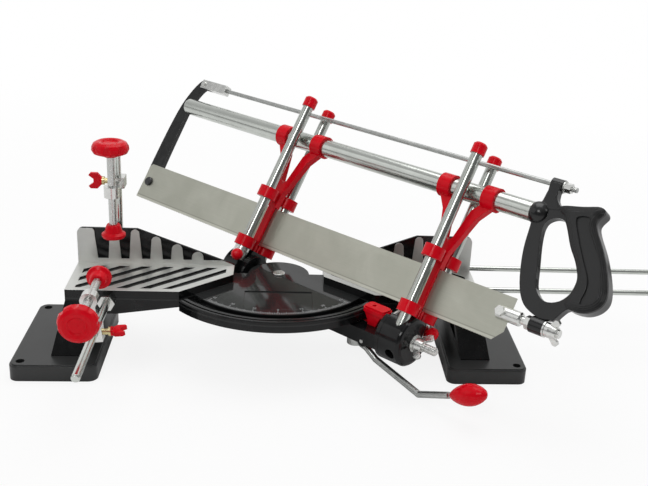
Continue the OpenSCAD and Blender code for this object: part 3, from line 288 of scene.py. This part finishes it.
def base_enamel():
    """Casting: enamel all over but for the machined tables and fence fingers. The disc's face is greyer, and
    the fingers' metal is darker, which is painted shade.
    """
    f = Finish("base_enamel", Specular_IOR_Level=ENAMEL_GLOSS)
    x, y, z = f.along(EAST), f.along(NORTH, PIVOT), f.along(UP)
    paint, paint_rough, paint_height = enamel_parts(f)
    metal, metal_rough, lines = machined_parts(f, f.axes(*BASE_AXES, squeeze=(0.03, 2.2, 2.2)))
    lands = z.between(TABLE_BAND) * (y < FENCE_LINE)
    fingers = y.between(FINGER_BAND) * (z > FINGER_FOOT) * (abs(x) > FINGERS_FROM)
    bare = lands.high(fingers)
    smear = f.noise(9.0, detail=5.0, rough=0.7).spread(0.66, 0.74)
    bare = bare * (1 - smear * 0.12)
    disc = z.between(DISC_BAND) * (1 - bare)
    paint = f.mix(disc * 0.8, paint, (0.024, 0.025, 0.025))
    swirl = f.noise(5.0, where=f.axes(*BASE_AXES, squeeze=(0.4, 1.6, 1)), detail=5.0, distortion=1.5)
    rough = paint_rough * (1 - disc * 0.5) + disc * swirl.spread(0.5, 0.8) * 0.12
    rough = rough * (1 - bare) + metal_rough * bare
    height = paint_height * (1 - bare) * (1 - disc * 0.6) + lines * bare * 0.35
    table_metal = f.mix(0.16, metal, (0.30, 0.30, 0.29))
    # The fingers' metal is darkened by half: painted shade on faces that look to the dim front
    finger_metal_painted_shade = f.mix(0.5, metal, (0.36, 0.365, 0.35))
    metal = f.mix(fingers, table_metal, finger_metal_painted_shade)
    return f.done(f.mix(bare, paint, metal), rough, bare, height, depth=0.05, rounding=0.5)


def cast_enamel():
    """The arm and the two heads: the same enamel all over."""
    f = Finish("cast_enamel", Specular_IOR_Level=ENAMEL_GLOSS)
    colour, rough, height = enamel_parts(f)
    return f.done(colour, rough, 0.0, height, depth=0.05, rounding=0.6)


def foot_enamel():
    """The feet: satin black with a fine grain."""
    f = Finish("foot_enamel", Specular_IOR_Level=0.5)
    grain = f.noise(0.55, detail=3.0)
    cloud = f.noise(30.0, detail=4.0)
    scuff = f.noise(6.0, where=f.axes(*BASE_AXES, squeeze=(1, 0.15, 1)), detail=6.0, rough=0.75)
    scuff = scuff.spread(0.64, 0.78)
    colour = f.mix(cloud.spread(0.3, 0.7), (0.017, 0.018, 0.018), (0.025, 0.026, 0.026))
    colour = f.mix(scuff * 0.2, colour, (0.04, 0.041, 0.042))
    colour = f.mix(f.edge_wear(0.6) * 0.25, colour, WORN_BLACK)
    rough = cloud.spread(0.3, 0.7, 0.27, 0.38) + grain * 0.06
    return f.done(colour, rough, 0.0, grain, depth=0.05, strength=0.6, rounding=0.8)


def red_parts(f):
    """Red moulding with soft flow marks: colour, roughness and height."""
    flow = f.noise(7.0, detail=3.0, distortion=0.8)
    speck = f.noise(0.5, detail=2.0)
    colour = f.mix(flow.spread(0.3, 0.72), RED, (0.70, 0.0028, 0.0135))
    colour = f.mix(f.edge_wear(0.4) * 0.08, colour, (0.75, 0.02, 0.035))
    rough = flow.spread(0.3, 0.7, 0.16, 0.24) + speck * 0.04
    return colour, rough, flow * 0.6 + speck * 0.12


def red_plastic():
    """The red mouldings that have no metal in them."""
    f = Finish("red_plastic", Specular_IOR_Level=RED_GLOSS)
    colour, rough, height = red_parts(f)
    return f.done(colour, rough, 0.0, height, depth=0.06, rounding=0.5)


def steel_parts(f, tint, base_rough, where):
    """Plated or bare steel, a little cloudy, with fine lines: colour, roughness and height."""
    fine = f.noise(1.0, where=where, detail=4.0, rough=0.65)
    cloud = f.noise(18.0, detail=3.0)
    colour = f.mix(cloud.spread(0.3, 0.7), tint, tuple(c * 0.90 for c in tint))
    rough = fine.spread(0.25, 0.75, base_rough * 0.75, base_rough * 1.35) + cloud * 0.03
    return colour, rough, fine


def chrome(name, axes, tint=BRIGHT_CHROME):
    """Bright chrome with faint lines along the rod. A darker tint gives a copy with painted shade."""
    f = Finish(name)
    colour, rough, fine = steel_parts(f, tint, 0.19, f.axes(*axes, squeeze=(0.02, 1.5, 1.5)))
    return f.done(colour, rough, 1.0, fine, depth=0.02, strength=0.4, rounding=0.3)


def zinc():
    """Bright zinc plate, a little cloudy."""
    f = Finish("zinc_plate")
    cloud = f.noise(6.0, detail=3.0)
    fine = f.noise(0.7, detail=2.0)
    colour = f.mix(cloud.spread(0.3, 0.7), (0.66, 0.665, 0.65), (0.76, 0.765, 0.74))
    rough = cloud.spread(0.3, 0.7, 0.18, 0.26) + fine * 0.05
    return f.done(colour, rough, 1.0, cloud * 0.5 + fine * 0.2, depth=0.03, strength=0.4, rounding=0.4)


def dull_steel():
    """Plain drawn rod with a satin skin."""
    f = Finish("dull_steel")
    cloud = f.noise(9.0, detail=4.0)
    fine = f.noise(0.6, detail=3.0)
    colour = f.mix(cloud.spread(0.3, 0.7), (0.40, 0.41, 0.40), (0.52, 0.53, 0.515))
    rough = cloud.spread(0.3, 0.7, 0.26, 0.36) + fine * 0.06
    return f.done(colour, rough, 1.0, fine, depth=0.03, strength=0.4, rounding=0.4)


def dark_screw():
    """Blacked steel with a thin oily bloom."""
    f = Finish("blacked_steel")
    cloud = f.noise(2.0, detail=4.0)
    colour = f.mix(cloud, (0.03, 0.03, 0.032), (0.09, 0.09, 0.09))
    return f.done(colour, cloud.spread(0.2, 0.8, 0.25, 0.42), 0.7, cloud, depth=0.05, rounding=0.4)


def blade_steel():
    """Satin spring steel, ground along its length, with a hardened tooth line and a painted shadow of the teeth
    above it.
    """
    f = Finish("blade_steel")
    t = f.along(RISE, TILT_AXIS)
    grind = f.noise(1.0, where=f.axes(*SAW_AXES, squeeze=(0.016, 1, 2.6)), detail=5.0, rough=0.7)
    scratch = f.noise(1.0, where=f.axes(*SAW_AXES, squeeze=(0.05, 1, 4.0)), detail=6.0, rough=0.8)
    scratch = scratch.spread(0.66, 0.78)
    cloud = f.noise(45.0, detail=4.0, distortion=0.6)
    colour = f.mix(cloud.spread(0.3, 0.7), (0.45, 0.455, 0.39), (0.54, 0.545, 0.475))
    colour = f.mix(grind.spread(0.35, 0.75) * 0.35, colour, (0.40, 0.40, 0.345))
    hardened = t.spread(*TOOTH_BAND, 1.0, 0.0)
    colour = f.mix(hardened * 0.4, colour, (0.74, 0.74, 0.66))
    # Painted shadow of the teeth: a dark line just above the hardened edge
    line = t.spread(*TOOTH_SHADOW_START) * t.spread(*TOOTH_SHADOW_END, 1.0, 0.0)
    colour = f.mix(line * 0.55, colour, (0.20, 0.19, 0.16))
    rough = grind.spread(0.25, 0.75, 0.30, 0.45) + cloud * 0.06 + scratch * 0.08
    return f.done(colour, rough, 1.0, grind + scratch * 0.4, depth=0.025, strength=0.6, rounding=0.15)


def handle_plastic():
    """Gloss black moulding with a soft flow and a fine grain."""
    f = Finish("handle_plastic", Specular_IOR_Level=0.45)
    cloud = f.noise(16.0, detail=3.0, distortion=0.7)
    grain = f.noise(0.8, detail=3.0)
    colour = f.mix(cloud.spread(0.3, 0.7), (0.006, 0.0063, 0.0065), (0.011, 0.0115, 0.012))
    colour = f.mix(f.edge_wear(0.6) * 0.16, colour, WORN_BLACK)
    rough = cloud.spread(0.3, 0.7, 0.12, 0.22) + grain * 0.04
    return f.done(colour, rough, 0.0, cloud + grain * 0.25, depth=0.06, strength=0.7, rounding=1.0)


def red_on_shank(name, direction, origin, shank_end, tint, tint_rough):
    """Red moulding on a metal shank, which runs in the direction from the origin as far as shank_end."""
    f = Finish(name, Specular_IOR_Level=RED_GLOSS)
    shank = f.along(direction, origin) < shank_end
    red, red_rough, red_height = red_parts(f)
    metal, rough, fine = steel_parts(f, tint, tint_rough, f.axes(*BASE_AXES))
    colour = f.mix(shank, red, metal)
    rough = rough * shank + red_rough * (1 - shank)
    return f.done(colour, rough, shank, red_height * (1 - shank) + fine * shank * 0.3, depth=0.05, rounding=0.5)


def white_mark():
    """Worn white paint in the lines of a scale."""
    f = Finish("scale_white")
    worn = f.noise(1.2, detail=4.0)
    colour = f.mix(worn.spread(0.4, 0.75), (0.78, 0.78, 0.76), (0.55, 0.55, 0.53))
    return f.done(colour, worn.spread(0.2, 0.8, 0.35, 0.55), 0.0, worn, depth=0.02)


def grey_mark():
    """Worn grey paint in the lines of the mitre scale."""
    f = Finish("scale_grey")
    worn = f.noise(2.2, detail=4.0)
    colour = f.mix(worn.spread(0.35, 0.7), (0.42, 0.43, 0.43), (0.20, 0.205, 0.21))
    return f.done(colour, worn.spread(0.2, 0.8, 0.25, 0.45), 0.0, worn, depth=0.02)


ENAMEL = cast_enamel()
REDS = red_plastic()
ZINC = zinc()
CHROME_SAW = chrome("chrome_along_saw", SAW_AXES)
CHROME_PILLAR = chrome("chrome_up_pillars", PILLAR_AXES, SHADED_CHROME)
CHROME_UP = chrome("chrome_upright", UPRIGHT_AXES)
CHROME_LEVEL = chrome("chrome_level", LEVEL_AXES)
CHROME_ACROSS = chrome("chrome_across", BASE_AXES)
WHITE = white_mark()
GREY = grey_mark()
# How far the bare shank of each screw runs before its red knob or wing starts
UPRIGHT_SHANK, LEVEL_SHANK, WING_SHANK = 202.8, 110.8, 15.5
upright_knob = red_on_shank("upright_knob_red", UP, (0, 0, 0), UPRIGHT_SHANK, KNOB_STEEL, 0.24)
level_knob = red_on_shank("level_knob_red", -NORTH, LEVEL_FOOT, LEVEL_SHANK, KNOB_STEEL, 0.24)
upright_wing = red_on_shank("upright_wing_red", -EAST, UPRIGHT_FOOT, WING_SHANK, YELLOW_ZINC, 0.25)
level_wing = red_on_shank("level_wing_red", LEVEL_WING, LEVEL_FOOT, WING_SHANK, YELLOW_ZINC, 0.25)

LOOKS = {
    base_enamel(): ["base_casting"],
    foot_enamel(): ["left_foot", "right_foot"],
    ENAMEL: ["arm", "front_head", "rear_head"],
    handle_plastic(): ["handle", "strap", "stop_plate"],
    REDS: ["catch", "lever_knob", "front_caps", "rear_caps", "front_stop_screw", "rear_stop_screw",
           "front_carrier", "rear_carrier", "upright_clamp_pad", "level_clamp_pad"],
    upright_knob: ["upright_clamp_screw"],
    level_knob: ["level_clamp_screw"],
    upright_wing: ["upright_clamp_wing"],
    level_wing: ["level_clamp_wing"],
    ZINC: ["foot_screws", "pivot_bolt", "pivot_nut", "level_clamp_nut", "catch_pin", "front_stud", "rear_stud",
           "rear_nut", "front_stops", "rear_stops", "tilt_wing_nut", "clevis", "rod_nuts", "tension_screw",
           "tension_pin", "tension_washer", "tension_wing_nut", "upright_clamp_body", "level_clamp_body"],
    dark_screw(): ["strap_screw"],
    CHROME_SAW: ["tube"],
    CHROME_PILLAR: ["pillar_fl", "pillar_fr", "pillar_rl", "pillar_rr"],
    CHROME_UP: ["upright_clamp_rod"],
    CHROME_LEVEL: ["level_clamp_rod"],
    CHROME_ACROSS: ["stop_rods"],
    dull_steel(): ["lever_rod", "tension_rod"],
    blade_steel(): ["blade"],
}
for material, names in LOOKS.items():
    for name in names:
        nodes[name].data.materials.clear()
        nodes[name].data.materials.append(material)


def riding(name, mesh, body):
    """A mesh in the scene's frame as a piece that moves with the body."""
    piece = bpy.data.objects.new(name, mesh)
    bpy.context.scene.collection.objects.link(piece)
    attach(piece, body)
    return piece


# Repeated details
class Shape(Graph):
    """A geometry tree with named inputs. made() turns it into a plain mesh in the scene's frame."""

    def __init__(self, name, **sizes):
        self.name = name
        group = bpy.data.node_groups.new(name, "GeometryNodeTree")
        super().__init__(group)
        self.ids = {}
        for key, value in sizes.items():
            kind = "NodeSocketInt" if isinstance(value, int) else "NodeSocketFloat"
            self.ids[key] = group.interface.new_socket(name=key, in_out="INPUT", socket_type=kind).identifier
        group.interface.new_socket(name="Geometry", in_out="OUTPUT", socket_type="NodeSocketGeometry")
        self.sizes = sizes
        self.entry = self.add("NodeGroupInput")

    def __getattr__(self, key):
        if key in self.__dict__.get("ids", {}):
            return self.entry[key]
        raise AttributeError(key)

    def made(self, geometry, finish, place, body):
        solid = self.add("GeometryNodeRealizeInstances", None, geometry)[0]
        solid = self.add("GeometryNodeSetMaterial", None, solid, Material=finish)[0]
        out = self.tree.nodes.new("NodeGroupOutput")
        self.tree.links.new(solid.socket, out.inputs[0])
        holder = bpy.data.objects.new(self.name + "_tree", bpy.data.meshes.new(self.name + "_tree"))
        bpy.context.scene.collection.objects.link(holder)
        modifier = holder.modifiers.new("shape", "NODES")
        modifier.node_group = self.tree
        for key, value in self.sizes.items():
            modifier[self.ids[key]] = value
        mesh = bpy.data.meshes.new_from_object(holder.evaluated_get(bpy.context.evaluated_depsgraph_get()))
        holder.modifiers.clear()
        bpy.data.objects.remove(holder)
        mesh.transform(place)
        mesh.materials.clear()
        mesh.materials.append(finish)
        return riding(self.name, mesh, body)


# Straight pieces in one turn of a thread, and how far its ridge stands out for a pitch of 1
THREAD_STEPS, THREAD_RIDGE = 16, 0.42


def helix_thread(name, radius, pitch, length, place, body, finish):
    """A rolled thread: a V-shaped ridge wound round a rod, along Z from the origin."""
    g = Shape(name, Radius=radius, Pitch=pitch, Length=length)
    line = g.add("GeometryNodeCurveSpiral", None, THREAD_STEPS, g.Length / g.Pitch, g.Radius, g.Radius,
                 g.Length, False)[0]
    profile = g.add("GeometryNodeCurvePrimitiveCircle", {"mode": "RADIUS"}, Resolution=4,
                    Radius=pitch * THREAD_RIDGE)["Curve"]
    tube = g.add("GeometryNodeCurveToMesh", None, Curve=line, Profile_Curve=profile, Fill_Caps=True)[0]
    return g.made(tube, finish, place, body)


# The root of the first tooth, along, across and up from the tilting axis, and how far the teeth are set apart
FIRST_TOOTH = (-270, 0, 32.6)
TOOTH_SET = 0.4


def teeth(finish):
    """Fine teeth along the lower edge of the blade, set to both sides by turns."""
    g = Shape("blade_teeth", Count=343, Pitch=1.57, Length=0.9, Thick=0.42)
    line = g.add("GeometryNodeMeshLine", {"mode": "OFFSET"}, Count=g.Count, Start_Location=FIRST_TOOTH,
                 Offset=g.add("ShaderNodeCombineXYZ", None, g.Pitch, 0.0, 0.0)[0])[0]
    tooth = g.add("GeometryNodeMeshCone", None, Vertices=4, Radius_Top=0.02, Radius_Bottom=1.0,
                  Depth=1.0)["Mesh"]
    size = g.add("ShaderNodeCombineXYZ", None, g.Pitch * 0.5, g.Thick * 0.5, g.Length)[0]
    index = g.add("GeometryNodeInputIndex")[0]
    side = (index.math("MODULO", 2.0) - 0.5) * TOOTH_SET
    moved = g.add("GeometryNodeSetPosition", None, line,
                  Offset=g.add("ShaderNodeCombineXYZ", None, 0.0, side, 0.0)[0])[0]
    row = g.add("GeometryNodeInstanceOnPoints", None, moved, Instance=tooth, Rotation=(math.pi, 0, 0),
                Scale=size)[0]
    return g.made(row, finish, IN_SAW, "saw")


def ticks(name, count, step, radius, sizes, start, place, body, finish, upright=False):
    """Scale lines round an arc: every fifth is longer, and every fifteenth the longest."""
    short, mid, long_, width, thick = sizes
    g = Shape(name, Count=count, Step=step, Radius=radius, Start=start, Short=short, Mid=mid, Long=long_,
              Width=width, Thick=thick)
    points = g.add("GeometryNodeMeshLine", {"mode": "OFFSET"}, Count=g.Count)[0]
    index = g.add("GeometryNodeInputIndex")[0]
    angle = (g.Start + index * g.Step) * (math.pi / 180)
    fifth = index.math("MODULO", 5.0) < 0.5
    fifteenth = index.math("MODULO", 15.0) < 0.5
    length = g.Short + fifth * (g.Mid - g.Short) + fifteenth * (g.Long - g.Mid)
    reach = g.Radius - length * (0.0 if upright else 0.5)
    spot = g.add("ShaderNodeCombineXYZ", None, angle.math("COSINE") * reach, angle.math("SINE") * reach,
                 length * 0.5 if upright else 0.0)[0]
    placed = g.add("GeometryNodeSetPosition", None, points, Position=spot)[0]
    bar = g.add("GeometryNodeMeshCube")["Mesh"]
    turn = g.add("ShaderNodeCombineXYZ", None, 0.0, 0.0, angle)[0]
    deep, high = (g.Thick, length) if upright else (length, g.Thick)
    size = g.add("ShaderNodeCombineXYZ", None, deep, g.Width, high)[0]
    marks = g.add("GeometryNodeInstanceOnPoints", None, placed, Instance=bar, Rotation=turn, Scale=size)[0]
    return g.made(marks, finish, place, body)


# Height of a number on the disc, its thickness and its distance from the pivot
NUMERAL_SIZE, NUMERAL_DEPTH, NUMERAL_REACH = 4.6, 0.06, 91.5


def numeral(text, place, finish):
    """A plain number as a thin mesh."""
    curve = bpy.data.curves.new("number_" + text, "FONT")
    curve.body, curve.size, curve.extrude = text, NUMERAL_SIZE, NUMERAL_DEPTH
    curve.align_x = curve.align_y = "CENTER"
    holder = bpy.data.objects.new("number", curve)
    bpy.context.scene.collection.objects.link(holder)
    bpy.context.view_layer.update()
    mesh = bpy.data.meshes.new_from_object(holder.evaluated_get(bpy.context.evaluated_depsgraph_get()))
    bpy.data.objects.remove(holder)
    mesh.transform(place)
    mesh.materials.clear()
    mesh.materials.append(finish)
    return mesh


def joined(name, meshes, body):
    """Several meshes of one finish as one piece."""
    whole = bmesh.new()
    for mesh in meshes:
        whole.from_mesh(mesh)
    target = bpy.data.meshes.new(name)
    whole.to_mesh(target)
    whole.free()
    target.materials.append(meshes[0].materials[0])
    return riding(name, target, body)


teeth(nodes["blade"].data.materials[0])

# Mitre scale on the disc, with its numbers. Lines of a scale: short, middle and long length, width, thickness.
DISC_TOP = 70.0
ticks("mitre_scale", 91, 1.0, 102.0, (3.8, 5.2, 7.0, 0.6, 0.3), -135.0, IN_BASE @ at(0, 0, DISC_TOP),
      "base", GREY)
digits = []
for degrees in (-45, -30, -15, 0, 15, 30, 45):
    turn = Matrix.Rotation(math.radians(degrees), 4, "Z")
    spot = IN_BASE @ turn @ at(0, -NUMERAL_REACH, DISC_TOP + 0.05)
    digits.append(numeral(str(abs(degrees)), spot, GREY))
joined("mitre_numbers", digits, "base")

# Bevel scale round the tilting barrel, whose front rim is this far out along the arm
BARREL_RIM = 165.4
TURN_OUT = Matrix.Rotation(math.pi / 2, 4, "Y")
ticks("bevel_scale", 91, 1.0, 26.0, (2.6, 3.8, 5.4, 0.24, 0.2), -45.0,
      IN_SAW @ TURN_OUT @ Matrix.Rotation(math.pi, 4, "Z") @ at(0, 0, BARREL_RIM),
      "tilt_frame", WHITE, upright=True)

# Threads: radius, pitch, length, place and body. The clamp screws are drawn finer and shallower.
M8, CLAMP_SCREW, M5 = (3.9, 1.25), (3.75, 0.9), (2.4, 0.8)
TURN_BACK = Matrix.Rotation(-math.pi / 2, 4, "Y")
THREADS = (
    ("tension_thread", *M8, 14.0, IN_SAW @ at(315.7, 0, 59.8) @ TURN_OUT, "saw"),
    ("rod_thread", *M5, 5.4, IN_SAW @ at(281.7, 2.9, 195.8) @ TURN_OUT, "saw"),
    ("front_stud_thread", *M8, 14.5, IN_ARM @ at(202.5, 0, 57) @ TURN_OUT, "swing_arm"),
    ("rear_stud_thread", *M8, 3.6, IN_ARM @ at(-77.0, 0, 57) @ TURN_BACK, "swing_arm"),
    ("upright_screw_thread", *CLAMP_SCREW, 72.0, UPRIGHT_CLAMP @ at(34.5, 0, 130.2), "upright_knob"),
    ("level_screw_thread", *CLAMP_SCREW, 80.0, LEVEL_CLAMP @ at(34.5, 0, 30.2), "level_knob"),
)
for thread in THREADS:
    helix_thread(*thread, ZINC)


# Floor, light and camera. Places here are in metres.
FLOOR_HALF, FLOOR_Z = 9.0, -0.0003
FLOOR_CORNERS = ((-1, -1), (1, -1), (1, 1), (-1, 1))
# Strength of the room in front of the part and of the pale backdrop behind it, from below to above
ROOM = ((0.0, 0.3), (0.5, 0.34), (0.62, 0.16), (0.8, 0.24), (1.0, 0.7))
BACKDROP = ((0.0, 0.3), (0.5, 1.0), (0.75, 0.85), (0.9, 0.5), (1.0, 0.7))
# Name, place, aim, width, height and power of each area lamp
LAMPS = (
    ("left_softbox", (-2.2, -0.3, 1.4), (0, 0, 0.1), 1.8, 1.8, 7.0),
    ("front_softbox", (-0.7, -1.9, 1.9), (0, 0, 0.1), 0.7, 0.7, 12.0),
    ("top_softbox", (0.2, 0.5, 1.9), (0, 0, 0.1), 1.5, 1.5, 15.0),
    ("right_strip", (1.8, -0.6, 0.9), (0.1, 0, 0.12), 0.5, 1.4, 4.0),
)


def pale_floor():
    """A wide floor that shows white to the camera far off and keeps the part's shadow near it."""
    floor = bpy.data.meshes.new("floor")
    floor.from_pydata([(x * FLOOR_HALF, y * FLOOR_HALF, FLOOR_Z) for x, y in FLOOR_CORNERS], [], [(0, 1, 2, 3)])
    thing = bpy.data.objects.new("floor", floor)
    bpy.context.scene.collection.objects.link(thing)
    material = bpy.data.materials.new("pale_floor")
    material.use_nodes = True
    g = Graph(material.node_tree)
    g.tree.nodes.clear()
    seen = g.add("ShaderNodeLightPath")
    tone = g.add("ShaderNodeTexNoise", None, Vector=g.add("ShaderNodeTexCoord")["Object"], Scale=1.5)[0]
    paint = g.add("ShaderNodeBsdfDiffuse", None, g.mix(tone, (0.86, 0.86, 0.86), (0.88, 0.88, 0.88)))[0]
    glow = g.add("ShaderNodeEmission", None, (1, 1, 1, 1), 1.0)[0]
    reach = g.vector("LENGTH", g.add("ShaderNodeTexCoord")["Object"])
    share = seen["Is Camera Ray"] * reach.spread(0.35, 1.3, 0.86, 1.0)
    both = g.add("ShaderNodeMixShader", None, share, paint, glow)[0]
    g.add("ShaderNodeOutputMaterial", None, both)
    floor.materials.append(material)


def studio_world():
    """A dim room on the camera's side and a white backdrop behind. The camera itself sees white."""
    world = bpy.data.worlds.new("studio")
    bpy.context.scene.world = world
    world.use_nodes = True
    w = Graph(world.node_tree)
    w.tree.nodes.clear()
    seen = w.add("ShaderNodeLightPath")
    way = w.add("ShaderNodeSeparateXYZ", None, w.add("ShaderNodeTexCoord")["Generated"])
    height = way["Z"] * 0.5 + 0.5
    room, backdrop = (
        w.add("ShaderNodeValToRGB", {"ramp": [(place, rgba((tone,) * 3)) for place, tone in stops]}, height)[0]
        for stops in (ROOM, BACKDROP))
    sky = w.mix(way["Y"].spread(0.0, 0.6), room, backdrop)
    shown = w.mix(seen["Is Camera Ray"], sky, (1.0, 1.0, 1.0))
    background = w.add("ShaderNodeBackground", None, shown, 1.0)[0]
    w.add("ShaderNodeOutputWorld", None, background)


def lamp(name, place, aim, width, height, power):
    """An area lamp that faces its aim."""
    light = bpy.data.lights.new(name, "AREA")
    light.shape, light.size, light.size_y, light.energy = "RECTANGLE", width, height, power
    thing = bpy.data.objects.new(name, light)
    bpy.context.scene.collection.objects.link(thing)
    thing.location = place
    thing.rotation_euler = (Vector(aim) - Vector(place)).to_track_quat("-Z", "Y").to_euler()


# The photograph's viewing place, fitted to the part: focal length in pixels, place in mm, angles in radians
PHOTO_WIDTH, SENSOR = 648.0, 36.0
FOCAL = 964.2
VIEW_FROM = (-0.6, -933.7, 496.8)
YAW, PITCH, ROLL = 0.1384, 0.3730, 0.0764
# The photograph is cropped off the centre of its view by this many pixels
CROP_SHIFT = -80.0


def camera():
    """The camera at the photograph's viewing place."""
    forward = Vector((math.sin(YAW) * math.cos(PITCH), math.cos(YAW) * math.cos(PITCH), -math.sin(PITCH)))
    level = Vector((math.cos(YAW), -math.sin(YAW), 0))
    above = level.cross(forward)
    right = level * math.cos(ROLL) + above * math.sin(ROLL)
    up = above * math.cos(ROLL) - level * math.sin(ROLL)
    data = bpy.data.cameras.new("camera")
    data.sensor_width, data.lens = SENSOR, FOCAL * SENSOR / PHOTO_WIDTH
    data.shift_x = CROP_SHIFT / PHOTO_WIDTH
    data.clip_start, data.clip_end = 0.01, 50.0
    thing = bpy.data.objects.new("camera", data)
    bpy.context.scene.collection.objects.link(thing)
    rows = [[right[i], up[i], -forward[i], VIEW_FROM[i] * MM] for i in range(3)]
    thing.matrix_world = Matrix(rows + [[0, 0, 0, 1]])
    bpy.context.scene.camera = thing


pale_floor()
studio_world()
for row in LAMPS:
    lamp(*row)
camera()
bpy.context.scene.view_settings.view_transform = "Standard"
